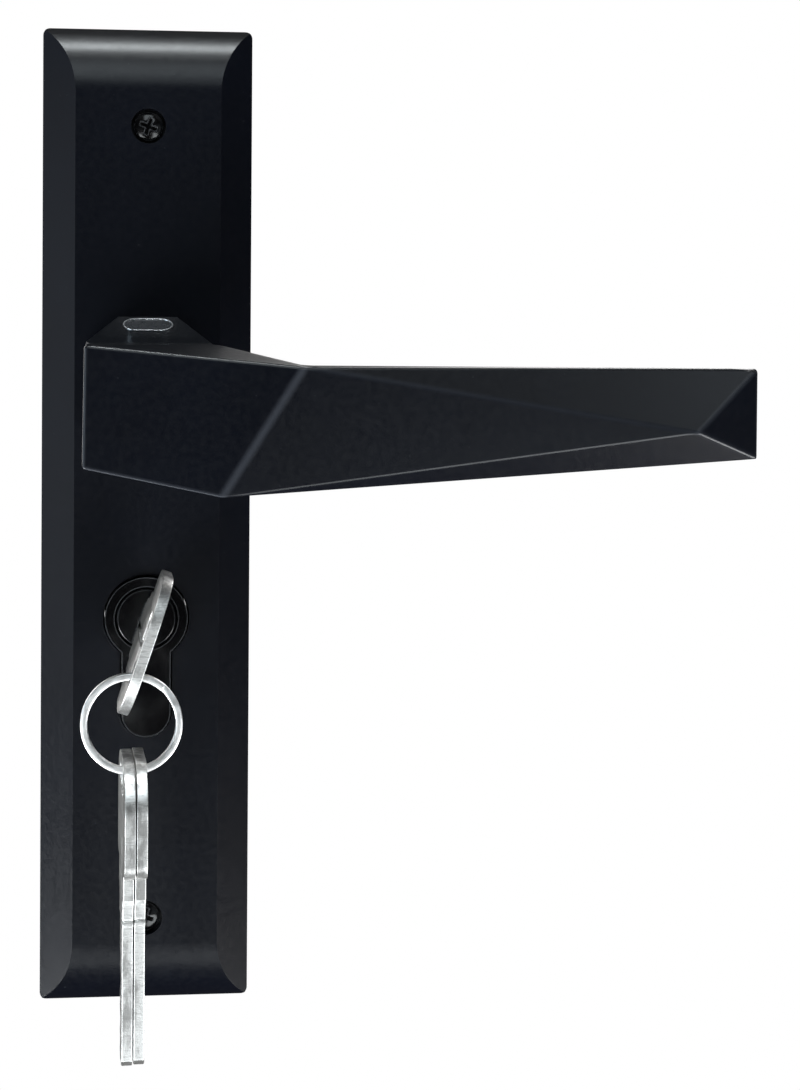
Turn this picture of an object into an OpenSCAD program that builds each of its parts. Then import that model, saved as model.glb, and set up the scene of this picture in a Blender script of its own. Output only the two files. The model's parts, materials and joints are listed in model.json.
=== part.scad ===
// Lever handle on a long backplate, with a euro-profile cylinder, its key and two spare keys.
// +X points along the lever, +Z is up and the front faces -Y.
// The origin is the centre of the backplate's back face, which rests on the door.

/* [Backplate] */
// Width of the backplate
plate_w = 43.5; // [42:0.5:46]
// Length of the backplate
plate_l = 203; // [200:1:210]
// Thickness of the backplate
plate_t = 10; // [10:0.5:11]
// Height of the square edge round the rim
edge_h = 3; // [2.5:0.5:4]
// Width of the bevel down each long side
bevel_w = 6.8; // [6:0.1:7]
// Length of the rounded roll-off at each end
rolloff_l = 13.5; // [12:0.5:15]
// Radius of the outline's corners
corner_r = 1.5; // [1:0.5:3]
// Thickness of the front wall over the hollow back
wall_t = 3; // [2.5:0.1:3]
// Height of the upper fixing screw
upper_screw_z = 81; // [80:0.5:83]
// Height of the lower fixing screw
lower_screw_z = -83; // [-84:0.5:-82]

/* [Lever] */
// Height of the spindle axis
spindle_z = 27.5; // [27:0.5:28]
// Distance from the door to the front of the lever
lever_front = 54; // [52:0.5:56]
// Distance from the spindle axis to the end of the lever
lever_reach = 120; // [110:1:125]
// Distance from the door to the back of the grip
grip_back = 36; // [34:0.5:37]
// Width of the neck
neck_w = 25; // [24:0.5:25]
// Side of the square spindle
spindle_side = 8; // [7.5:0.5:8]
// Distance that the spindle stands out behind the backplate
spindle_out = 62; // [50:1:70]

/* [Cylinder] */
// Distance from the spindle axis down to the plug's axis
plug_drop = 48; // [47:0.5:48]
// Diameter of the round part of the euro profile
profile_d = 17; // [17:0.1:17.2]
// Overall height of the euro profile
profile_h = 33; // [32.5:0.5:33]
// Width of the profile's web
web_w = 10; // [9.8:0.1:10]
// Length of the cylinder
cylinder_l = 70; // [66:1:80]
// Distance that the cylinder stands proud of the backplate
proud = 1.5; // [1:0.5:2]
// Diameter of each plug
plug_d = 13; // [12.8:0.1:13]
// Distance between pins
pin_pitch = 4; // [3.8:0.1:4]
// Pins in each half
pin_count = 5; // [4:1:5]

/* [Keys] */
// Thickness of a key
key_t = 2.1; // [2:0.1:2.2]
// Length of a key's blade
blade_l = 27.5; // [27:0.5:28]
// Width of a key's bow
bow_w = 28.2; // [27.4:0.2:29]
// Length of a key's bow
bow_l = 21.4; // [21:0.2:22]
// Length between a key's bow and its stop
shank_l = 10.5; // [10:0.5:11]
// Angle of the inserted key from upright
key_angle = 18.5; // [17:0.1:20]
// Outside diameter of the split ring
ring_d = 19.8; // [19.8:0.1:20]

/* [Hidden] */
$fn = 64;

// Clearances
fit = 0.05;
gap = 0.3;

// Depths, all measured forward from the back face as negative Y
front_y = -plate_t;
floor_y = wall_t - plate_t;

// Backplate
roll_drop = plate_t - edge_h;
roll_r = (rolloff_l * rolloff_l + roll_drop * roll_drop) / (2 * roll_drop);
flat_l = plate_l - 2 * rolloff_l;
pocket_w = 29;
pocket_r = 15;
land_w = 9;
hole_gap = 0.4;
hole_fit = 0.1;
screw_head_d = 6;
counterbore_d = 7.2;
counterbore_y = front_y + 2.4;
screw_d = 3.9;
screw_neck_d = 3.5;
screw_turn = 20;

// Hub stack, behind the front wall
hub_d = 16.9;
bush_d = 20;
bush_flange_d = 22;
bush_flange_t = 0.8;
washer_y = floor_y + bush_flange_t + fit;
washer_d = 21.8;
washer_t = 0.4;
clip_y = washer_y + washer_t + fit;
clip_t = 1;
groove_d = 15.8;
cam_y = clip_y + clip_t + fit;
cam_t = 1.2;
flats_w = 14.6;
coil_wire = 1;
coil_r = 10;
coil_y = cam_y + cam_t + 0.2 + coil_wire / 2;
coil_pitch = 0.95;
cover_t = 1.1;
hub_end = -cover_t - 0.2;
boss_angles = [31, 109, 250];
boss_radius = 13;
boss_r = 1.9;
cover_screw_d = 2.1;

// Lever: heights are above the spindle axis
neck_y = front_y - gap;
badge_end_y = neck_y - 10.4;
neck_top = 14.2;
neck_flat = 6.05;
neck_side = 9.1;
facet_tilt = 4;
tip_set_back = 13;
spindle_front = -grip_back + 1;
grub_y = badge_end_y - 5;

// Badge on the slope at the top of the neck
badge_l = 10.4;
badge_h = 5.6;
badge_t = 0.8;
badge_recess = 0.5;
badge_slope = atan2(neck_top - neck_side, neck_y - badge_end_y);
badge_along = 3.9;

// Cylinder
plug_z = spindle_z - plug_drop;
face_y = front_y - proud;
cylinder_mid = face_y + cylinder_l / 2;
web_r = web_w / 2;
web_bottom = plug_z + profile_d / 2 - profile_h;
cam_gap = 10.4;
cam_w = 9.8;
coupling_d = 9;
bridge_top = plug_z - 15.8;
chamber_d = 2.9;
chamber_plug_h = 1.8;
driver_l = 6;
inner_lift = 1.6;
outer_driver_drop = plug_d / 2 + 2 * fit + 0.2;
inner_driver_drop = plug_d / 2 + fit - inner_lift;
first_pin = 8;
plug_l = cylinder_l / 2 - cam_gap / 2;
plug_bevel = 0.6;
plug_clip_t = 0.9;
plug_clip_y = plug_l - 2.2;
plug_clip_groove = 11;
fixing_hole_d = 4.2;
fixing_hole_z = web_bottom + 4.5;

// Keys: the blade's bitted edge faces down
blade_top = 2.9;
blade_bottom = -5.3;
cut_flat = 1.1;
bitting = [1.6, 2.6, 1.2, 2.2, 1.8];
keyway_w = key_t + 0.2;
stop_w = 12.6;
stop_l = 1;
stop_groove = 0.4;
collar_l = 4.6;
shoulder_w = 16.8;
bow_far_r = 9;
bow_near_r = 3;
bow_near_l = bow_far_r + bow_near_r;
bow_drop = 2;
slot_l = 14.6;
slot_h = 5;
slot_inset = 4.5;
stop_y = face_y - 2 * fit;
bow_far = shank_l + bow_l;
slot_far = bow_far - slot_inset;
ring_y = stop_y - slot_far;

// Split ring, hanging from the lower end of the working key's slot
ring_wire = 1.4;
ring_axial = 1.7;
ring_edge = 0.5;
ring_r = (ring_d - ring_wire) / 2;
ring_x = -3.3;
ring_z = plug_z - 16.45;

// Spare keys, hanging from the bottom of the ring
spare_gap = 0.2;
spare_left_x = ring_x - 0.75;
spare_right_x = spare_left_x + key_t + spare_gap;
spare_lift = 0.25;
spare_turn = 2.1;

// Helpers

// A sketch in X and Z, extruded between two depths
module prism(y_front, y_back) {
    translate([0, y_back, 0]) rotate([90, 0, 0]) linear_extrude(y_back - y_front) children();
}

// A round bar along Y
module rod(d, y_front, y_back) {
    translate([0, y_back, 0]) rotate([90, 0, 0]) cylinder(d = d, h = y_back - y_front);
}

// A flat ring round the Y axis
module tube(d_out, d_in, y_front, y_back) {
    difference() {
        rod(d_out, y_front, y_back);
        rod(d_in, y_front - 1, y_back + 1);
    }
}

// A rounded rectangle, centred
module rounded(w, h, r) {
    square([w - 2 * r, h], center = true);
    square([w, h - 2 * r], center = true);
    for (sx = [-1, 1], sy = [-1, 1]) {
        translate([sx * (w / 2 - r), sy * (h / 2 - r)]) circle(r = r);
    }
}

// A slot with round ends, centred, with its length along the sketch's X
module stadium(l, h) {
    square([l - h, h], center = true);
    for (s = [-1, 1]) translate([s * (l - h) / 2, 0]) circle(d = h);
}

// The convex solid that spans a list of points
module span(points) {
    hull() polyhedron(points, [[for (i = [0 : len(points) - 1]) i]]);
}

// A circlip round the Y axis, open at the top
module circlip(d_out, d_in, opening, y_front, t) {
    translate([0, y_front + t, 0]) rotate([90, 90 + opening / 2, 0])
        rotate_extrude(angle = 360 - opening) translate([d_in / 2, 0]) square([(d_out - d_in) / 2, t]);
}

// The euro profile, grown by a margin
module euro_profile(margin) {
    translate([0, plug_z]) circle(d = profile_d + 2 * margin);
    translate([0, web_bottom + web_r]) circle(r = web_r + margin);
    translate([-web_r - margin, web_bottom + web_r])
        square([web_w + 2 * margin, plug_z - web_bottom - web_r]);
}

// Backplate

module plate_section() {
    half = plate_w / 2;
    polygon([
        [-half, 0], [half, 0], [half, -edge_h], [half - bevel_w, -plate_t],
        [bevel_w - half, -plate_t], [-half, -edge_h]
    ]);
}

module plate_profile() {
    intersection() {
        translate([-plate_l / 2, 0]) square([plate_l, plate_t]);
        union() {
            translate([-flat_l / 2, 0]) square([flat_l, plate_t]);
            for (s = [-1, 1]) translate([s * flat_l / 2, plate_t - roll_r]) circle(r = roll_r, $fn = 128);
        }
    }
}

module plate_blank() {
    intersection() {
        translate([0, 0, -plate_l / 2]) linear_extrude(plate_l) plate_section();
        translate([-plate_w / 2, 0, 0]) rotate([180, -90, 0]) linear_extrude(plate_w) plate_profile();
        prism(front_y, 0) rounded(plate_w, plate_l, corner_r);
    }
}

// A hollow in the back between two heights
module back_pocket(low_z, high_z) {
    translate([0, 0, (low_z + high_z) / 2]) prism(floor_y, 1) rounded(pocket_w, high_z - low_z, 3);
}

module cover_bosses(r, y_front, y_back) {
    for (a = boss_angles) {
        translate([boss_radius * cos(a), 0, spindle_z + boss_radius * sin(a)])
            rod(2 * r, y_front, y_back);
    }
}

module backplate() {
    color([0.1, 0.11, 0.13]) difference() {
        union() {
            difference() {
                plate_blank();
                translate([0, 0, spindle_z]) rod(2 * pocket_r, floor_y, 1);
                back_pocket(spindle_z + pocket_r + 2, upper_screw_z - land_w / 2);
                back_pocket(lower_screw_z + land_w / 2, web_bottom - 3);
            }
            intersection() {
                cover_bosses(boss_r, floor_y - 0.5, -cover_t);
                translate([0, 0, spindle_z]) rod(2 * pocket_r + 0.2, floor_y - 0.5, -cover_t);
            }
        }
        translate([0, 0, spindle_z]) rod(bush_d + 2 * fit, front_y - 1, 1);
        cover_bosses(cover_screw_d / 2 + fit, -cover_t - 4, 0);
        prism(front_y - 1, floor_y) euro_profile(hole_gap);
        prism(floor_y - 1, 1) euro_profile(hole_fit);
        for (z = [upper_screw_z, lower_screw_z]) translate([0, 0, z]) {
            rod(screw_d + 0.3, front_y - 1, 1);
            rod(counterbore_d, front_y - 1, counterbore_y);
        }
    }
}

module bearing_bush() {
    color([0.85, 0.83, 0.76]) translate([0, 0, spindle_z]) difference() {
        union() {
            rod(bush_d, front_y, floor_y + 0.1);
            rod(bush_flange_d, floor_y, floor_y + bush_flange_t);
        }
        rod(hub_d + 2 * fit, front_y - 1, 0);
    }
}

// Lever

// The neck's outline where it is widest, against the backplate
function neck_base_points() = [
    for (sx = [-1, 1], sz = [-1, 1]) each [
        [sx * neck_flat, neck_y, sz * neck_top], [sx * neck_w / 2, neck_y, sz * neck_side]
    ]
];

function neck_points(y) = [for (sx = [-1, 1], sz = [-1, 1]) [sx * neck_w / 2, y, sz * neck_side]];

// The long crease where the lever stands out furthest
crease_low = [13.2, -lever_front, -19.4];
crease_top = [28.6, -lever_front, 5.2];
crease_low_back = [14.2, -grip_back, -18.4];
crease_top_back = [30, -grip_back, 5];

// A point on one of the two facets that fall away from the crease
function on_facet(x, z) = let (
        along = [crease_top[0] - crease_low[0], crease_top[2] - crease_low[2]],
        out = [x - crease_low[0], z - crease_low[2]],
        away = abs(along[0] * out[1] - along[1] * out[0]) / norm(along)
    ) [x, away * tan(facet_tilt) - lever_front, z];

block_top_left = on_facet(-12.6, 9.1);
block_low_left = on_facet(-12.9, -14.1);
apex = on_facet(lever_reach - 14.2, -7.5);
tip_top = [lever_reach, tip_set_back - lever_front, 4.9];
tip_low = [lever_reach, tip_set_back - lever_front, -13.1];
tip_top_back = [lever_reach, -grip_back, 4.2];
tip_low_back = [lever_reach, -grip_back, -12.4];

module lever_form() {
    span(concat(neck_base_points(), neck_points(badge_end_y)));
    span(concat(neck_points(badge_end_y), neck_points(-grip_back)));
    span(concat(neck_points(-grip_back),
        [block_top_left, block_low_left, crease_low, crease_top, crease_low_back, crease_top_back]));
    span([crease_low, crease_top, crease_low_back, crease_top_back,
        apex, tip_top, tip_low, tip_top_back, tip_low_back]);
}

// Places a sketch on the sloping facet at the top of the neck, outward along +Z
module on_badge_slope() {
    translate([0, neck_y - badge_along * cos(badge_slope), neck_top - badge_along * sin(badge_slope)])
        rotate([badge_slope, 0, 0]) children();
}

module hub_form() {
    intersection() {
        rod(hub_d, neck_y - 1, hub_end);
        union() {
            rod(hub_d + 1, neck_y - 1, cam_y);
            translate([-flats_w / 2, cam_y, -hub_d]) cube([flats_w, -cam_y, 2 * hub_d]);
        }
    }
}

module lever_handle() {
    color([0.1, 0.11, 0.13]) translate([0, 0, spindle_z]) difference() {
        union() {
            lever_form();
            hub_form();
        }
        tube(hub_d + 1, groove_d, clip_y, clip_y + clip_t);
        translate([-spindle_side / 2 - fit, spindle_front, -spindle_side / 2 - fit])
            cube([spindle_side + 2 * fit, -spindle_front + 1, spindle_side + 2 * fit]);
        translate([0, grub_y, -neck_side - 1]) cylinder(d = 5, h = neck_side);
        on_badge_slope() translate([0, 0, -badge_recess]) linear_extrude(2) stadium(badge_l, badge_h);
    }
}

module lever_badge() {
    rim = 0.4;
    color([0.75, 0.76, 0.78]) translate([0, 0, spindle_z]) on_badge_slope()
        translate([0, 0, -badge_recess]) difference() {
            linear_extrude(badge_t) stadium(badge_l - 2 * fit, badge_h - 2 * fit);
            translate([0, 0, badge_t - 0.2]) linear_extrude(1)
                stadium(badge_l - 2 * rim, badge_h - 2 * rim);
        }
}

module grub_screw() {
    screw_top = -spindle_side / 2 - fit;
    color([0.2, 0.2, 0.22]) translate([0, grub_y, spindle_z + screw_top - 4.5]) difference() {
        cylinder(d = 4.9, h = 4.5);
        translate([0, 0, -1]) cylinder(d = 2.9, h = 3, $fn = 6);
    }
}

module spindle() {
    side = spindle_side;
    color([0.72, 0.73, 0.75]) translate([-side / 2, spindle_front + fit, spindle_z - side / 2])
        cube([side, spindle_out - spindle_front - fit, side]);
}

module hub_washer() {
    color([0.75, 0.75, 0.76]) translate([0, 0, spindle_z])
        tube(washer_d, hub_d + 2 * fit, washer_y, washer_y + washer_t);
}

module hub_circlip() {
    color([0.3, 0.3, 0.32]) translate([0, 0, spindle_z])
        circlip(20.4, groove_d + 2 * fit, 40, clip_y + fit / 2, clip_t - fit);
}

module drive_cam() {
    lug_w = 4;
    color([0.7, 0.69, 0.62]) translate([0, 0, spindle_z]) prism(cam_y, cam_y + cam_t) difference() {
        union() {
            circle(r = 10.8);
            translate([-lug_w / 2, 0]) square([lug_w, 14.2]);
        }
        intersection() {
            circle(d = hub_d + 2 * fit);
            square([flats_w + 2 * fit, hub_d * 2], center = true);
        }
    }
}

module return_spring() {
    leg_l = 3;
    color([0.6, 0.61, 0.63]) translate([0, coil_y, spindle_z]) rotate([90, 0, 0]) {
        for (turn = [0, 1]) translate([0, 0, -turn * coil_pitch])
            rotate_extrude() translate([coil_r, 0]) circle(d = coil_wire, $fn = 24);
        for (leg = [[96, 0], [262, coil_pitch]]) {
            rotate([0, 0, leg[0]]) translate([coil_r, 0, -leg[1]]) rotate([0, 90, 0])
                cylinder(d = coil_wire, h = leg_l, $fn = 24);
        }
    }
}

module spring_cover() {
    color([0.72, 0.73, 0.75]) difference() {
        translate([0, 0, spindle_z]) tube(2 * pocket_r - 4 * fit, 12.6, -cover_t, 0);
        cover_bosses(cover_screw_d / 2 + 0.2, -cover_t - 1, 1);
        cover_bosses(1.75, -0.65, 1);
    }
}

module cover_screws() {
    head_t = 0.6;
    color([0.8, 0.8, 0.82]) for (a = boss_angles) {
        translate([boss_radius * cos(a), 0, spindle_z + boss_radius * sin(a)]) difference() {
            union() {
                rod(cover_screw_d, -cover_t - 3.5, -0.2);
                rod(3.3, -head_t, -fit);
            }
            translate([0, -0.2, 0]) rotate([90, 45, 0]) for (turn = [0, 90]) {
                rotate([0, 0, turn]) cube([1.9, 0.45, 0.8], center = true);
            }
        }
    }
}

module fixing_screws() {
    head_y = front_y + 0.7;
    dome_r = 7;
    shank_end = 38;
    color([0.07, 0.07, 0.08]) for (z = [upper_screw_z, lower_screw_z]) translate([0, 0, z]) difference() {
        union() {
            intersection() {
                rod(screw_head_d, head_y, counterbore_y);
                translate([0, head_y + dome_r, 0]) sphere(r = dome_r, $fn = 96);
            }
            rod(screw_neck_d, counterbore_y - 0.5, 0.5);
            rod(screw_d, 0, shank_end);
        }
        translate([0, head_y, 0]) rotate([90, screw_turn, 0]) for (turn = [0, 90]) {
            rotate([0, 0, turn]) cube([3.6, 0.85, 2], center = true);
        }
    }
}

// Cylinder

// Depth of one pin, counted inward from the mouth of its half
function pin_depth(i) = first_pin + i * pin_pitch;

// Runs its children at each pin of one half: side 0 is the outer half and side 1 the inner half
module each_pin(side) {
    for (i = [0 : pin_count - 1]) {
        y = side == 0 ? face_y + pin_depth(i) : face_y + cylinder_l - pin_depth(i);
        translate([0, y, 0]) children();
    }
}

module cylinder_body() {
    color([0.09, 0.09, 0.1]) difference() {
        prism(face_y, face_y + cylinder_l) euro_profile(0);
        translate([0, 0, plug_z]) rod(plug_d + 2 * fit, face_y - 1, face_y + cylinder_l + 1);
        translate([-profile_d, cylinder_mid - cam_gap / 2, bridge_top])
            cube([2 * profile_d, cam_gap, profile_h]);
        for (side = [0, 1]) each_pin(side)
            translate([0, 0, web_bottom - 1]) cylinder(d = chamber_d, h = plug_z - web_bottom - 3);
        translate([-web_w, cylinder_mid, fixing_hole_z]) rotate([0, 90, 0])
            cylinder(d = fixing_hole_d, h = 2 * web_w);
    }
}

// A plug with its keyway and pin holes, its mouth at Y = 0 and its bore running to +Y
module plug_form() {
    difference() {
        union() {
            rod(plug_d - 2 * fit, plug_bevel, plug_l);
            translate([0, plug_bevel, 0]) rotate([90, 0, 0])
                cylinder(r1 = plug_d / 2 - fit, r2 = plug_d / 2 - fit - plug_bevel, h = plug_bevel);
        }
        translate([-keyway_w / 2, -1, blade_bottom - 0.2])
            cube([keyway_w, plug_l + 2, blade_top - blade_bottom + 0.4]);
        for (i = [0 : pin_count - 1]) {
            translate([0, pin_depth(i), -plug_d]) cylinder(d = chamber_d, h = plug_d - 1);
        }
        tube(plug_d + 1, plug_clip_groove, plug_clip_y, plug_clip_y + plug_clip_t);
    }
}

// Turns and places what belongs to the outer plug and its key
module with_outer_plug() {
    translate([0, face_y, plug_z]) rotate([0, key_angle, 0]) children();
}

// Places what belongs to the inner plug, which faces the other way
module with_inner_plug() {
    translate([0, face_y + cylinder_l, plug_z]) mirror([0, 1, 0]) children();
}

module outer_plug() {
    color([0.1, 0.1, 0.11]) with_outer_plug() plug_form();
}

module inner_plug() {
    color([0.1, 0.1, 0.11]) with_inner_plug() plug_form();
}

// A plug's clip, in the groove near its inner end
module plug_clip() {
    circlip(plug_d - 4 * fit, plug_clip_groove + 2 * fit, 70, plug_clip_y + fit / 2, plug_clip_t - fit);
}

module outer_plug_clip() {
    color([0.6, 0.6, 0.62]) with_outer_plug() plug_clip();
}

module inner_plug_clip() {
    color([0.6, 0.6, 0.62]) with_inner_plug() plug_clip();
}

module cylinder_cam() {
    lug_w = 8;
    lug_reach = 15.3;
    barrel_d = 16.4;
    color([0.72, 0.72, 0.7]) translate([0, cylinder_mid, plug_z]) rotate([0, 180 + key_angle, 0])
        difference() {
            prism(-cam_w / 2, cam_w / 2) union() {
                circle(d = barrel_d);
                translate([-lug_w / 2, 0]) square([lug_w, lug_reach - lug_w / 2]);
                translate([0, lug_reach - lug_w / 2]) circle(d = lug_w);
            }
            rod(coupling_d + 2 * fit, -cam_w, cam_w);
        }
}

module cam_coupling() {
    color([0.78, 0.66, 0.4]) translate([0, cylinder_mid, plug_z]) rotate([0, key_angle, 0]) difference() {
        rod(coupling_d, -cam_w / 2, cam_w / 2);
        translate([-keyway_w / 2, -cam_w, blade_bottom]) cube([keyway_w, 5.4, blade_top - blade_bottom]);
    }
}

// Length of a key pin that a cut of a given depth brings to the edge of the plug
function key_pin_l(cut) = plug_d / 2 + blade_bottom + cut - 2 * fit;

// A key pin standing on the edge of the plug, with a cone that sits in the key's cut
module key_pin(length) {
    cone_h = 0.9;
    r = chamber_d / 2 - fit;
    translate([0, 0, -plug_d / 2 + fit]) {
        cylinder(r = r, h = length - cone_h);
        translate([0, 0, length - cone_h]) cylinder(r1 = r, r2 = r - cone_h, h = cone_h);
    }
}

module outer_key_pins() {
    color([0.8, 0.68, 0.4]) with_outer_plug() for (i = [0 : pin_count - 1]) {
        translate([0, pin_depth(i), 0]) intersection() {
            key_pin(key_pin_l(bitting[i]));
            rod(plug_d - 2 * fit, -chamber_d, chamber_d);
        }
    }
}

// With no key in the inner plug, its springs hold the pins up in the keyway
module inner_key_pins() {
    color([0.8, 0.68, 0.4]) with_inner_plug() for (i = [0 : pin_count - 1]) {
        translate([0, pin_depth(i), inner_lift]) key_pin(key_pin_l(bitting[pin_count - 1 - i]));
    }
}

// A driver pin, its top a given distance below the plug's axis
module driver_pin(below) {
    translate([0, 0, plug_z - below - driver_l]) cylinder(d = chamber_d - 2 * fit, h = driver_l);
}

module outer_driver_pins() {
    color([0.78, 0.79, 0.8]) each_pin(0) driver_pin(outer_driver_drop);
}

module inner_driver_pins() {
    color([0.78, 0.79, 0.8]) each_pin(1) driver_pin(inner_driver_drop);
}

// A short coil spring standing on Z, drawn as one swept wire
module coil(r, wire, height, turns) {
    steps = 12 * turns;
    sides = 5;
    ring = [for (k = [0 : steps], s = [0 : sides - 1])
        let (a = 360 * turns * k / steps, b = 360 * s / sides, q = r + wire / 2 * cos(b))
        [q * cos(a), q * sin(a), height * k / steps + wire / 2 * sin(b)]];
    skin = [for (k = [0 : steps - 1], s = [0 : sides - 1])
        let (t = (s + 1) % sides, m = k * sides, n = m + sides)
        each [[m + s, n + s, n + t], [m + s, n + t, m + t]]];
    caps = [[for (s = [sides - 1 : -1 : 0]) steps * sides + s], [for (s = [0 : sides - 1]) s]];
    polyhedron(ring, concat(skin, caps));
}

module pin_springs() {
    wire = 0.35;
    low = web_bottom + chamber_plug_h + wire;
    drops = [outer_driver_drop, inner_driver_drop];
    color([0.7, 0.7, 0.72]) for (side = [0, 1]) {
        high = plug_z - drops[side] - driver_l - wire;
        each_pin(side) translate([0, 0, low]) coil(1.1, wire, high - low, 4);
    }
}

module chamber_plugs() {
    color([0.75, 0.65, 0.4]) for (side = [0, 1]) each_pin(side) intersection() {
        translate([0, 0, web_bottom - 1]) cylinder(d = chamber_d - fit, h = chamber_plug_h + 1);
        prism(-chamber_d, chamber_d) euro_profile(0);
    }
}

// Keys

// Points of one pin's cut along the blade's lower edge
function cut_points(y, depth) = [
    [y - cut_flat / 2 - depth, blade_bottom],
    [y - cut_flat / 2, blade_bottom + depth],
    [y + cut_flat / 2, blade_bottom + depth],
    [y + cut_flat / 2 + depth, blade_bottom]
];

// A square block of the key between two distances behind its stop
module bow_step(near, far, w) {
    translate([-far, -w / 2]) square([far - near, w]);
}

// The stop, the collar, the shoulder and the bow, each wider than the last
module bow_outline() {
    bow_step(0, stop_l, stop_w);
    bow_step(stop_l - 0.1, stop_l + 0.5, stop_w - 2 * stop_groove);
    bow_step(stop_l + 0.4, collar_l, stop_w);
    bow_step(collar_l - 0.1, collar_l + 1, (stop_w + shoulder_w) / 2);
    bow_step(collar_l + 0.9, shank_l + bow_near_r, shoulder_w);
    translate([-shank_l - bow_near_l / 2, 0]) rounded(bow_near_l, bow_w, bow_near_r);
    translate([-shank_l - bow_l / 2, 0]) rounded(bow_l, bow_w, bow_far_r);
}

// A key with its stop at Y = 0, its blade along +Y and its bow along -Y
module key_form(cuts) {
    nose = 2.2;
    tip_cut = 1.2;
    rotate([90, 0, 90]) difference() {
        linear_extrude(key_t, center = true) difference() {
            union() {
                polygon([
                    [-stop_l, blade_bottom], [blade_l - nose, blade_bottom], [blade_l, blade_bottom + nose],
                    [blade_l, blade_top - tip_cut], [blade_l - tip_cut, blade_top], [-stop_l, blade_top]
                ]);
                translate([0, -bow_drop]) bow_outline();
            }
            for (i = [0 : pin_count - 1]) polygon(cut_points(pin_depth(i), cuts[i]));
            translate([-slot_far, -bow_drop]) rotate(90) stadium(slot_l, slot_h);
        }
        for (s = [-1, 1]) translate([0, -0.6 + s, s * (key_t / 2 - 0.25)]) linear_extrude(1, center = true)
            square([2 * blade_l, 1.3], center = true);
    }
}

module working_key() {
    color([0.78, 0.79, 0.8]) translate([0, stop_y, plug_z]) rotate([0, key_angle, 0]) key_form(bitting);
}

module split_ring() {
    color([0.8, 0.8, 0.82]) translate([ring_x, ring_y, ring_z]) rotate([90, 0, 0])
        rotate_extrude($fn = 128) translate([ring_r, 0]) rounded(ring_wire, ring_axial, ring_edge);
}

// Hangs a key from the ring at a distance along X, its bitted edge towards the door
module hang_spare(x) {
    wire_top = ring_z - sqrt(pow(ring_r - ring_wire / 2, 2) - pow(abs(x - ring_x) + key_t / 2, 2));
    slot_top = slot_far + slot_h / 2;
    translate([x, ring_y - bow_drop, wire_top + spare_lift - slot_top])
        rotate([-90, 0, 180 + spare_turn]) key_form(bitting);
}

module spare_key_left() {
    color([0.78, 0.79, 0.8]) hang_spare(spare_left_x);
}

module spare_key_right() {
    color([0.78, 0.79, 0.8]) hang_spare(spare_right_x);
}

backplate();
bearing_bush();
lever_handle();
lever_badge();
grub_screw();
spindle();
hub_washer();
hub_circlip();
drive_cam();
return_spring();
spring_cover();
cover_screws();
fixing_screws();
cylinder_body();
outer_plug();
inner_plug();
cylinder_cam();
cam_coupling();
outer_plug_clip();
inner_plug_clip();
outer_key_pins();
inner_key_pins();
outer_driver_pins();
inner_driver_pins();
pin_springs();
chamber_plugs();
working_key();
split_ring();
spare_key_left();
spare_key_right();
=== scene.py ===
import json
import math

import bmesh
import bpy
from mathutils import Matrix, Vector


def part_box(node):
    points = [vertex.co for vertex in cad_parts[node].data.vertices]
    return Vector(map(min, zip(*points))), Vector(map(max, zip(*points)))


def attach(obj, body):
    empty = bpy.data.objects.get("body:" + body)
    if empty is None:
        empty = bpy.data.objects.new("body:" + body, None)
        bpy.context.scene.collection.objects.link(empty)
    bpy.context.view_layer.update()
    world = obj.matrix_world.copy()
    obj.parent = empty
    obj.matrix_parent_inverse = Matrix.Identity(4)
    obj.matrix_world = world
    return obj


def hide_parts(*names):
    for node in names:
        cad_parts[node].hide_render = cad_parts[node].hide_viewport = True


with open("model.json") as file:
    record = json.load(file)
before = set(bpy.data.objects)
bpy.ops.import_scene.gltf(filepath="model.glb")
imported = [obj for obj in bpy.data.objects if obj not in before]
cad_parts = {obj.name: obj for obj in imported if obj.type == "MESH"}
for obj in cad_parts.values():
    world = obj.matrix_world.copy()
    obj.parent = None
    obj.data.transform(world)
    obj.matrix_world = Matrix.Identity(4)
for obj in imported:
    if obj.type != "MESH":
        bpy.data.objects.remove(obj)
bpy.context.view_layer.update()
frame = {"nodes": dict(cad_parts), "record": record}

nodes = frame["nodes"]
MM = 0.001


# ---------------------------------------------------------------- camera

def make_camera():
    """The photograph's viewpoint: in front of the neck, level with the lever's top, turned to the right."""
    place = (-0.0087, -0.46, 0.04341)
    yaw, pitch, roll = math.radians(6.3), math.radians(-1.32), math.radians(0.4)
    forward = Vector((math.sin(yaw) * math.cos(pitch), math.cos(yaw) * math.cos(pitch), math.sin(pitch)))
    level = Vector((math.cos(yaw), -math.sin(yaw), 0))
    upright = level.cross(forward)
    right = level * math.cos(roll) + upright * math.sin(roll)
    up = upright * math.cos(roll) - level * math.sin(roll)
    data = bpy.data.cameras.new("camera")
    data.sensor_width = 36
    data.lens = 71.79
    data.shift_x = 0.0505
    data.shift_y = -0.1697
    data.clip_start = 0.01
    data.clip_end = 50
    cam = bpy.data.objects.new("camera", data)
    turn = Matrix((right, up, -forward)).transposed()
    cam.matrix_world = Matrix.Translation(place) @ turn.to_4x4()
    bpy.context.scene.collection.objects.link(cam)
    bpy.context.scene.camera = cam


make_camera()
bpy.context.scene.view_settings.view_transform = "Standard"


# ---------------------------------------------------------------- lights and stage

def area_light(name, place, size, power, color=(1, 1, 1)):
    """A soft box that points at the origin."""
    data = bpy.data.lights.new(name, "AREA")
    data.shape = "RECTANGLE"
    data.size, data.size_y = size
    data.energy = power
    data.color = color
    light = bpy.data.objects.new(name, data)
    light.location = place
    light.rotation_euler = (-Vector(place)).to_track_quat("-Z", "Y").to_euler()
    bpy.context.scene.collection.objects.link(light)


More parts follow.
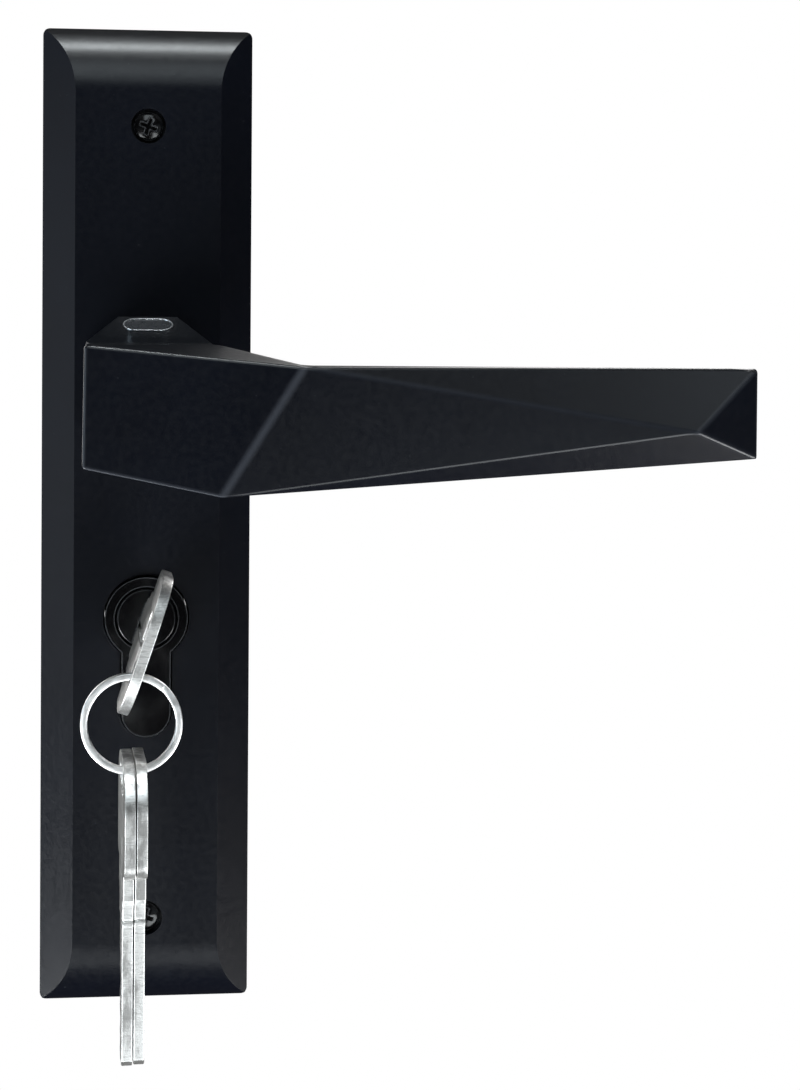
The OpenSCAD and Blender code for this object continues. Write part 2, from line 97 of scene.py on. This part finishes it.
def around(side, height):
    """A light's place, at an angle to the right of the front and an angle above the horizon."""
    distance = 1.2
    a, e = math.radians(side), math.radians(height)
    level = distance * math.cos(e)
    return (level * math.sin(a), -level * math.cos(a), distance * math.sin(e))


def seen_or_lit(tree, seen, lit, out):
    """Shows the first shader to the camera and lights the object with the second."""
    path = tree.nodes.new("ShaderNodeLightPath")
    mix = tree.nodes.new("ShaderNodeMixShader")
    tree.links.new(path.outputs["Is Camera Ray"], mix.inputs[0])
    tree.links.new(lit, mix.inputs[1])
    tree.links.new(seen, mix.inputs[2])
    tree.links.new(mix.outputs[0], out)


def make_world():
    """A white surround, with a dimmer fill from above on the object."""
    world = bpy.data.worlds.new("studio")
    bpy.context.scene.world = world
    world.use_nodes = True
    tree = world.node_tree
    tree.nodes.clear()
    out = tree.nodes.new("ShaderNodeOutputWorld")
    seen = tree.nodes.new("ShaderNodeBackground")
    seen.inputs["Color"].default_value = (1, 1, 1, 1)
    fill = tree.nodes.new("ShaderNodeBackground")
    fill.inputs["Color"].default_value = (1.0, 0.94, 0.82, 1)
    where = tree.nodes.new("ShaderNodeSeparateXYZ")
    tree.links.new(tree.nodes.new("ShaderNodeTexCoord").outputs["Generated"], where.inputs[0])
    rise = tree.nodes.new("ShaderNodeMapRange")
    rise.inputs["From Min"].default_value = 0.2
    rise.inputs["To Min"].default_value = 0.02
    rise.inputs["To Max"].default_value = 0.12
    rise.interpolation_type = "SMOOTHSTEP"
    tree.links.new(where.outputs["Z"], rise.inputs["Value"])
    tree.links.new(rise.outputs[0], fill.inputs["Strength"])
    seen_or_lit(tree, seen.outputs[0], fill.outputs[0], out.inputs[0])


def make_stage():
    """A round floor well under the object: white to the camera, a faint warm bounce to the object."""
    radius, height, sides = 6.0, -1.3, 64
    angles = [math.tau * k / sides for k in range(sides)]
    rim = [(radius * math.cos(a), radius * math.sin(a), height) for a in angles]
    mesh = bpy.data.meshes.new("floor")
    mesh.from_pydata(rim, [], [list(range(sides))])
    floor = bpy.data.objects.new("floor", mesh)
    bpy.context.scene.collection.objects.link(floor)
    mat = bpy.data.materials.new("pale_floor")
    mat.use_nodes = True
    tree = mat.node_tree
    tree.nodes.clear()
    out = tree.nodes.new("ShaderNodeOutputMaterial")
    pale = tree.nodes.new("ShaderNodeEmission")
    pale.inputs["Color"].default_value = (1, 1, 1, 1)
    bounce = tree.nodes.new("ShaderNodeEmission")
    bounce.inputs["Color"].default_value = (1, 0.8, 0.6, 1)
    bounce.inputs["Strength"].default_value = 0.03
    seen_or_lit(tree, pale.outputs[0], bounce.outputs[0], out.inputs[0])
    floor.data.materials.append(mat)


make_world()
make_stage()
area_light("top_strip", (-0.02, -0.27, 1.17), (0.4, 0.15), 6.8, (0.92, 0.98, 1.0))
area_light("front_high", around(0, 40), (0.5, 0.5), 1.9, (0.85, 0.95, 1.0))
area_light("right_high", around(60, 35), (0.5, 0.5), 1.4, (0.85, 0.94, 1.0))
area_light("left_mid", around(-60, 0), (0.5, 0.5), 2.2, (0.7, 0.88, 1.0))
area_light("left_side", around(-90, 0), (0.5, 0.5), 0.4, (0.9, 0.95, 1.0))
area_light("right_mid", around(35, 0), (0.5, 0.5), 0.2, (0.8, 0.92, 1.0))
area_light("left_low", around(-85, -40), (0.5, 0.5), 15.5, (0.93, 0.97, 1.0))
area_light("right_low", around(85, -40), (0.5, 0.5), 8.0)
area_light("front_left_low", around(-40, -35), (0.9, 0.8), 14.5, (0.93, 0.98, 1.0))
area_light("front_right_low", around(40, -35), (0.9, 0.8), 10.5, (0.93, 0.98, 1.0))
area_light("back_right", around(150, 30), (0.7, 0.7), 7.0)
area_light("back_left", around(-150, 10), (0.7, 0.7), 5.0)


# ---------------------------------------------------------------- node kit

class Tree:
    """A node tree, with one call to add a node, set it up and link its inputs."""

    def node(self, kind, inputs=None, **settings):
        n = self.tree.nodes.new(kind)
        for key, value in settings.items():
            setattr(n, key, value)
        for key, value in (inputs or {}).items():
            self.put(n.inputs[key], value)
        return n

    def put(self, socket, value):
        if isinstance(value, bpy.types.NodeSocket):
            self.tree.links.new(value, socket)
        else:
            socket.default_value = value


class Graph(Tree):
    """One procedural material."""

    def __init__(self, name):
        self.mat = bpy.data.materials.new(name)
        self.mat.use_nodes = True
        self.tree = self.mat.node_tree
        self.shader = self.tree.nodes["Principled BSDF"]
        self.coords = self.tree.nodes.new("ShaderNodeTexCoord").outputs["Object"]

    def set(self, **inputs):
        for key, value in inputs.items():
            self.put(self.shader.inputs[key.replace("_", " ")], value)

    def noise(self, scale, detail=3.0, rough=0.5, stretch=None):
        where = self.coords
        if stretch:
            where = self.node("ShaderNodeMapping", {"Vector": self.coords, "Scale": stretch}).outputs[0]
        n = self.node("ShaderNodeTexNoise", {
            "Vector": where, "Scale": scale, "Detail": detail, "Roughness": rough})
        return n.outputs["Fac"]

    def spread(self, value, low, high, from_low=0.3, from_high=0.7):
        n = self.node("ShaderNodeMapRange", {
            "Value": value, "From Min": from_low, "From Max": from_high, "To Min": low, "To Max": high})
        return n.outputs[0]

    def blend(self, factor, a, b):
        # The node has a pair of inputs and an output for each kind of value: these are the colour's.
        n = self.node("ShaderNodeMix", data_type="RGBA")
        self.put(n.inputs[0], factor)
        self.put(n.inputs[6], a)
        self.put(n.inputs[7], b)
        return n.outputs[2]

    def bump(self, height, strength, distance):
        n = self.node("ShaderNodeBump", {"Height": height, "Strength": strength, "Distance": distance})
        return n.outputs[0]

    def near_edge(self, a, b, width):
        """1 on the straight edge between two points, fading to 0 at a distance from it."""
        length = (Vector(b) - Vector(a)).length
        along = (Vector(b) - Vector(a)) / length
        off = self.vector("SUBTRACT", self.coords, a)
        reach = self.math("MAXIMUM", self.vector("DOT_PRODUCT", off, along, "Value"), 0.0)
        reach = self.math("MINIMUM", reach, length)
        foot = self.node("ShaderNodeVectorMath", {0: along, "Scale": reach}, operation="SCALE")
        away = self.vector("DISTANCE", off, foot.outputs[0], "Value")
        n = self.node("ShaderNodeMapRange", {
            "Value": away, "From Max": width, "To Min": 1.0, "To Max": 0.0},
            interpolation_type="SMOOTHSTEP")
        return n.outputs[0]

    def vector(self, operation, a, b, out=0):
        return self.node("ShaderNodeVectorMath", {0: a, 1: b}, operation=operation).outputs[out]

    def math(self, operation, a, b):
        return self.node("ShaderNodeMath", {0: a, 1: b}, operation=operation).outputs[0]

    def edge(self, radius):
        """1 along the sharp edges and 0 on the flats."""
        low, high = 0.02, 0.25
        soft = self.node("ShaderNodeBevel", {"Radius": radius}, samples=4).outputs[0]
        flat = self.node("ShaderNodeNewGeometry").outputs["Normal"]
        lean = self.vector("DOT_PRODUCT", soft, flat, "Value")
        return self.spread(lean, 1.0, 0.0, 1 - high, 1 - low)


def rgb(r, g, b):
    return (r, g, b, 1)


def powder_coat(name="black_coat", edges=()):
    """Matt powder coat, with painted highlights: a little lighter along all its sharp edges, and lighter
    lines along a list of edges.
    """
    g = Graph(name)
    tint = g.spread(g.noise(60, 2), 0, 1)
    color = g.blend(tint, rgb(0.0007, 0.0013, 0.0036), rgb(0.0011, 0.0019, 0.0048))
    # Painted highlight: the colour turns lighter along every sharp edge.
    color = g.blend(g.spread(g.edge(0.4 * MM), 0, 0.35, 0, 1), color, rgb(0.012, 0.0125, 0.014))
    # Painted highlights: a lighter line along each listed edge, with its own width and strength.
    for a, b, width, strength in edges:
        painted_highlight = g.spread(g.near_edge(a, b, width), 0, strength, 0, 1)
        color = g.blend(painted_highlight, color, rgb(0.034, 0.037, 0.046))
    speckle = g.spread(g.noise(1300, 1, 0.4), 0, 0.6, 0.77, 0.82)
    color = g.blend(speckle, color, rgb(0.02, 0.022, 0.026))
    fine = g.noise(2600, 2, 0.6)
    g.set(Base_Color=color, Roughness=g.spread(g.noise(900, 3), 0.28, 0.34), Specular_IOR_Level=0.4)
    g.set(Normal=g.bump(fine, 0.3, 0.02 * MM))
    return g.mat


def gloss_black():
    g = Graph("black_gloss")
    # Painted highlight: the colour turns much lighter along every sharp edge, for bright rims.
    color = g.blend(g.edge(0.45 * MM), rgb(0.0015, 0.0015, 0.002), rgb(0.1, 0.103, 0.11))
    g.set(Base_Color=color, Roughness=g.spread(g.noise(500, 3), 0.14, 0.2), Specular_IOR_Level=0.5)
    g.set(Normal=g.bump(g.noise(1500, 2), 0.12, 0.01 * MM))
    return g.mat


def enamel():
    g = Graph("dark_enamel")
    color = g.blend(g.spread(g.noise(300, 3), 0, 1), rgb(0.022, 0.024, 0.029), rgb(0.026, 0.028, 0.033))
    g.set(Base_Color=color, Roughness=g.spread(g.noise(900, 2), 0.25, 0.35))
    g.set(Coat_Weight=0.4, Coat_Roughness=0.1)
    return g.mat


def metal(name, base, dark, rough, grain=(1, 1, 1), scale=900, strength=0.15):
    g = Graph(name)
    stain = g.spread(g.noise(140, 4), 0, 1)
    color = g.blend(g.spread(stain, 0, 0.35, 0, 1), rgb(*base), rgb(*dark))
    lines = g.noise(scale, 3, 0.6, grain)
    g.set(Base_Color=color, Metallic=1.0, Roughness=g.spread(lines, rough - 0.05, rough + 0.07))
    g.set(Normal=g.bump(lines, strength, 0.02 * MM))
    return g.mat


def key_rim_metal():
    """Milled nickel silver: marks across the rim and dark smudges along it, bright at the corners."""
    g = Graph("nickel_silver_rim")
    smudge = g.spread(g.noise(330, 4, 0.6, (1, 1, 0.45)), 0, 0.8, 0.48, 0.62)
    marks = g.noise(1100, 3, 0.7, (0.25, 0.5, 1.8))
    color = g.blend(smudge, rgb(0.92, 0.92, 0.91), rgb(0.34, 0.335, 0.33))
    color = g.blend(g.spread(marks, 0, 0.7, 0.5, 0.64), color, rgb(0.42, 0.415, 0.405))
    color = g.blend(g.edge(0.3 * MM), color, rgb(0.93, 0.93, 0.92))
    g.set(Base_Color=color, Metallic=1.0, Roughness=g.spread(marks, 0.34, 0.46))
    g.set(Normal=g.bump(marks, 0.4, 0.04 * MM))
    return g.mat


def plastic(name, base, dark, rough):
    g = Graph(name)
    color = g.blend(g.spread(g.noise(200, 3), 0, 0.5), rgb(*base), rgb(*dark))
    g.set(Base_Color=color, Roughness=g.spread(g.noise(800, 2), rough - 0.04, rough + 0.06))
    g.set(Subsurface_Weight=0.1, Subsurface_Scale=0.5 * MM, Normal=g.bump(g.noise(1200, 2), 0.1, 0.02 * MM))
    return g.mat


MATERIALS = {
    "black_coat": powder_coat(),
    "black_gloss": gloss_black(),
    "nickel_silver": metal(
        "nickel_silver", (0.62, 0.61, 0.59), (0.4, 0.39, 0.37), 0.34, (1, 0.15, 1), 700, 0.08),
    "ring_steel": metal("ring_steel", (0.96, 0.96, 0.96), (0.8, 0.8, 0.8), 0.4, (1, 1, 1), 700, 0.08),
    "badge_metal": metal("badge_metal", (0.74, 0.75, 0.78), (0.6, 0.6, 0.62), 0.3, (0.1, 1, 1), 2500, 0.2),
    "zinc_plated": metal("zinc_plated", (0.62, 0.64, 0.68), (0.5, 0.52, 0.55), 0.34, (1, 1, 1), 500, 0.15),
    "spring_steel": metal("spring_steel", (0.5, 0.51, 0.53), (0.34, 0.34, 0.35), 0.3),
    "dark_steel": metal("dark_steel", (0.09, 0.09, 0.1), (0.05, 0.05, 0.05), 0.38),
    "sintered_steel": metal(
        "sintered_steel", (0.42, 0.42, 0.4), (0.26, 0.26, 0.25), 0.5, (1, 1, 1), 1800, 0.5),
    "brass": metal("brass", (0.72, 0.55, 0.27), (0.55, 0.4, 0.18), 0.28, (1, 0.2, 1), 1200, 0.2),
    "nylon": plastic("nylon", (0.78, 0.75, 0.68), (0.7, 0.66, 0.58), 0.45),
}


# ---------------------------------------------------------------- modifiers for the carried-over solids

HARD_ANGLE = 30              # degrees between two faces, past which their edge is shaded hard
FOLD_ANGLE = 4               # degrees, past which the lever's facets meet in an edge that shows
LONG_EDGE = 3.5 * MM         # an edge of the lever shorter than this is left sharp
GRIP_BACK = -35.5 * MM       # the y in front of which the lever is grip and not neck
GRIP_LOW = 21 * MM           # the z under which an edge is one of the grip's lower ones
LOW_EDGE_SHARE = 0.4         # the lower edges are this much of the others' width
SAME_PLACE = 1e-6            # corners nearer than this are one corner
FLAT_ANGLE = 1               # degrees, under which two faces are one flat
NORMAL, PLACE = "GeometryNodeInputNormal", "GeometryNodeInputPosition"

class Steps(Tree):
    """A geometry-nodes group that takes a mesh in and gives a mesh out."""

    def __init__(self, name):
        self.tree = bpy.data.node_groups.new(name, "GeometryNodeTree")
        for way in ("INPUT", "OUTPUT"):
            self.tree.interface.new_socket("Geometry", in_out=way, socket_type="NodeSocketGeometry")
        self.mesh = self.node("NodeGroupInput").outputs[0]

    def test(self, operation, value, limit):
        return self.node("FunctionNodeCompare", {0: value, 1: limit}, operation=operation).outputs[0]

    def times(self, a, b):
        return self.node("ShaderNodeMath", {0: a, 1: b}, operation="MULTIPLY").outputs[0]

    def finish(self, mesh):
        self.node("NodeGroupOutput", {0: mesh})
        return self.tree


def smooth_group():
    """Shades smooth, with a hard edge wherever two faces meet at more than the hard angle."""
    g = Steps("smooth_by_angle")
    faces = g.node("GeometryNodeSetShadeSmooth", {"Geometry": g.mesh}, domain="FACE")
    angle = g.node("GeometryNodeInputMeshEdgeAngle").outputs[0]
    hard = g.test("GREATER_THAN", angle, math.radians(HARD_ANGLE))
    edges = g.node("GeometryNodeSetShadeSmooth", {
        "Geometry": faces.outputs[0], "Selection": hard, "Shade Smooth": False}, domain="EDGE")
    return g.finish(edges.outputs[0])


def long_edge_group():
    """Weighs the long edges of the lever's grip for its bevel, so that small details don't limit it."""
    g = Steps("mark_long_edges")
    ends = g.node("GeometryNodeInputMeshEdgeVertices")
    first, second = ends.outputs["Position 1"], ends.outputs["Position 2"]
    length = g.node("ShaderNodeVectorMath", {0: first, 1: second}, operation="DISTANCE").outputs["Value"]
    angle = g.node("GeometryNodeInputMeshEdgeAngle").outputs[0]
    far_end = g.node("ShaderNodeVectorMath", {0: first, 1: second}, operation="MAXIMUM").outputs[0]
    far = g.node("ShaderNodeSeparateXYZ", {0: far_end}).outputs
    is_long = g.test("GREATER_THAN", length, LONG_EDGE)
    is_sharp = g.test("GREATER_THAN", angle, math.radians(FOLD_ANGLE))
    in_front = g.test("LESS_THAN", far["Y"], GRIP_BACK)
    is_low = g.test("LESS_THAN", far["Z"], GRIP_LOW)
    share = g.node("ShaderNodeMapRange", {"Value": is_low, "To Min": 1.0, "To Max": LOW_EDGE_SHARE})
    weight = g.times(g.times(g.times(is_long, is_sharp), in_front), share.outputs[0])
    store = g.node("GeometryNodeStoreNamedAttribute", {
        "Geometry": g.mesh, "Name": "bevel_weight_edge", "Value": weight}, domain="EDGE")
    return g.finish(store.outputs[0])


SMOOTH = smooth_group()


def soften(ob, width, segments=2, long_only=False):
    """Rounds a solid's sharp edges and shades its curved faces smoothly, with modifiers only."""
    weld = ob.modifiers.new("weld", "WELD")
    weld.merge_threshold = SAME_PLACE
    flat = ob.modifiers.new("flat", "DECIMATE")
    flat.decimate_type = "DISSOLVE"
    flat.angle_limit = math.radians(FLAT_ANGLE)
    if long_only:
        ob.modifiers.new("mark", "NODES").node_group = long_edge_group()
    if width:
        bevel = ob.modifiers.new("bevel", "BEVEL")
        bevel.width = width
        bevel.segments = segments
        bevel.limit_method = "WEIGHT" if long_only else "ANGLE"
        bevel.angle_limit = math.radians(HARD_ANGLE)
        bevel.use_clamp_overlap = not long_only
        bevel.harden_normals = False
        bevel.miter_outer = "MITER_ARC"
    smooth = ob.modifiers.new("smooth", "NODES")
    smooth.node_group = SMOOTH
    normals = ob.modifiers.new("normals", "WEIGHTED_NORMAL")
    normals.weight = 100
    normals.keep_sharp = True


def solid_copy(ob):
    """A bmesh of the solid with its flat faces whole again. The object itself isn't touched."""
    mesh = bmesh.new()
    mesh.from_mesh(ob.data)
    bmesh.ops.remove_doubles(mesh, verts=mesh.verts, dist=SAME_PLACE)
    bmesh.ops.dissolve_limit(
        mesh, angle_limit=math.radians(FLAT_ANGLE), verts=mesh.verts, edges=mesh.edges)
    return mesh


# The width, in millimetres, and the strength of the painted highlight line on each kind of long edge of the
# lever.
PAINTED_HIGHLIGHT_LINES = {"crease": (1.3, 0.8), "low_left": (0.8, 1.0), "low_right": (0.8, 0.05), "other": (0.9, 0.35)}


def front_edges(ob):
    """The lever's long edges that face the user, each with the width and strength of its painted highlight
    line.
    """
    shortest, deepest = 8 * MM, 17 * MM
    neck_side, low_middle, low_run, flush = 20 * MM, 14 * MM, 15 * MM, 0.05 * MM
    mesh = solid_copy(ob)
    front = min(v.co.y for v in mesh.verts)
    found = []
    for e in mesh.edges:
        a, b = (v.co.copy() for v in e.verts)
        if len(e.link_faces) != 2 or e.calc_length() < shortest or max(a.y, b.y) > front + deepest:
            continue
        if math.degrees(e.calc_face_angle(0)) < FOLD_ANGLE:
            continue
        is_low_run = (a.z + b.z) / 2 < low_middle and abs(a.x - b.x) > low_run
        if max(a.y, b.y) < front + flush:
            kind = "crease"
        elif is_low_run and max(a.x, b.x) < neck_side:
            kind = "low_left"
        elif max(a.z, b.z) < GRIP_LOW and min(a.x, b.x) < neck_side:
            kind = "low_right"
        else:
            kind = "other"
        width, strength = PAINTED_HIGHLIGHT_LINES[kind]
        found.append((a, b, width * MM, strength))
    mesh.free()
    return found


def slot_group(name, direction, tests):
    """Gives the second material to the faces that pass two tests of a field's size along a direction."""
    g = Steps(name)
    passed = []
    for field, operation, limit in tests:
        value = g.node(field).outputs[0]
        along = g.node("ShaderNodeVectorMath", {0: value, 1: direction}, operation="DOT_PRODUCT")
        passed.append(g.test(operation, along.outputs["Value"], limit))
    both = g.node("FunctionNodeBooleanMath", dict(enumerate(passed)))
    mark = g.node("GeometryNodeSetMaterialIndex", {
        "Geometry": g.mesh, "Selection": both.outputs[0], "Material Index": 1})
    return g.finish(mark.outputs[0])


def key_rims(ob, mat):
    """Gives a key's narrow milled rim a rougher finish than its two broad faces, with a modifier."""
    ob.data.materials.append(mat)
    broad = max(ob.data.polygons, key=lambda p: p.area).normal
    lean = 0.5
    tests = ((NORMAL, "GREATER_THAN", -lean), (NORMAL, "LESS_THAN", lean))
    ob.modifiers.new("rim", "NODES").node_group = slot_group("rim_faces", broad, tests)


def badge_field(ob, mat):
    """Gives the sunk field of the badge its own dark enamel, with a modifier."""
    ob.data.materials.append(mat)
    out = max(ob.data.polygons, key=lambda p: p.area).normal
    if out.y > 0:
        out = -out
    flat = 0.99
    heights = [out.dot(p.center) for p in ob.data.polygons if p.normal.dot(out) > flat]
    split = (min(heights) + max(heights)) / 2
    tests = ((NORMAL, "GREATER_THAN", flat), (PLACE, "LESS_THAN", split))
    ob.modifiers.new("field", "NODES").node_group = slot_group("field_faces", out, tests)


for part in frame["record"]["subparts"]:
    ob = nodes[part["node"]]
    ob.data.materials.clear()
    ob.data.materials.append(MATERIALS[part["material_slot"]])
rim = key_rim_metal()
for name in ("working_key", "spare_key_left", "spare_key_right"):
    key_rims(nodes[name], rim)
lever = nodes["lever_handle"]
lever.data.materials[0] = powder_coat("black_coat_lever", front_edges(lever))
badge_field(nodes["lever_badge"], enamel())

# The width, in millimetres, of each solid's rounded edges. The lever has its own below.
EDGES = {
    "backplate": 0.35, "lever_badge": 0.08, "fixing_screws": 0.2, "cylinder_body": 0.4,
    "outer_plug": 0.3, "inner_plug": 0.3, "cylinder_cam": 0.3,
    "working_key": 0.25, "spare_key_left": 0.25, "spare_key_right": 0.25,
    "spindle": 0.3, "spring_cover": 0.12, "bearing_bush": 0.12, "grub_screw": 0.1,
}
LEVER_EDGE = 0.7
for name in nodes:
    if name == "lever_handle":
        soften(nodes[name], LEVER_EDGE * MM, segments=4, long_only=True)
    else:
        soften(nodes[name], EDGES.get(name, 0) * MM)


# ---------------------------------------------------------------- split ring, as two turns of wire

def squircle(sides, wide, deep):
    """The outline of a flat wire with full corners."""
    power = 0.55
    points = []
    for k in range(sides):
        c, d = math.cos(math.tau * k / sides), math.sin(math.tau * k / sides)
        across = math.copysign(abs(c) ** power, c) * wide / 2
        through = math.copysign(abs(d) ** power, d) * deep / 2
        points.append((across, through))
    return points


def split_ring():
    """A flat wire wound twice, with a short step where it passes from the back turn to the front one."""
    low, high = (Vector(v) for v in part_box("split_ring"))
    centre = (low + high) / 2
    wide, deep = 1.4 * MM, (high.y - low.y) / 2
    radius = (high.x - low.x) / 2 - wide / 2
    start, step, turn = 19, 30, 330          # degrees: where the wire starts, the step, and up to the step
    end_trim, end_scale = 0.6, 0.8           # degrees and share of the section, for the rounded wire ends
    sides, stations = 20, 230
    section = squircle(sides, wide, deep)
    span = 2 * turn + step

    def station(travelled, scale):
        a = math.radians(start - travelled)
        t = min(max((travelled - turn) / step, 0), 1)
        y = deep / 2 - deep * t * t * (3 - 2 * t)
        ring = []
        for across, through in section:
            r = radius + across * scale
            ring.append(centre + Vector((r * math.cos(a), y + through * scale, r * math.sin(a))))
        return ring

    rings = [station(0, end_scale)]
    for i in range(stations + 1):
        rings.append(station(end_trim + (span - 2 * end_trim) * i / stations, 1))
    rings.append(station(span, end_scale))
    mesh = bmesh.new()
    made = [[mesh.verts.new(co) for co in ring] for ring in rings]
    for a, b in zip(made, made[1:]):
        for k in range(sides):
            mesh.faces.new((a[k], a[(k + 1) % sides], b[(k + 1) % sides], b[k]))
    mesh.faces.new(made[0][::-1])
    mesh.faces.new(made[-1])
    bmesh.ops.recalc_face_normals(mesh, faces=mesh.faces)
    data = bpy.data.meshes.new("split_ring_wire")
    mesh.to_mesh(data)
    mesh.free()
    piece = bpy.data.objects.new("split_ring_wire", data)
    bpy.context.scene.collection.objects.link(piece)
    data.materials.append(MATERIALS["ring_steel"])
    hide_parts("split_ring")
    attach(piece, "ring")
    piece.modifiers.new("smooth", "NODES").node_group = SMOOTH


split_ring()
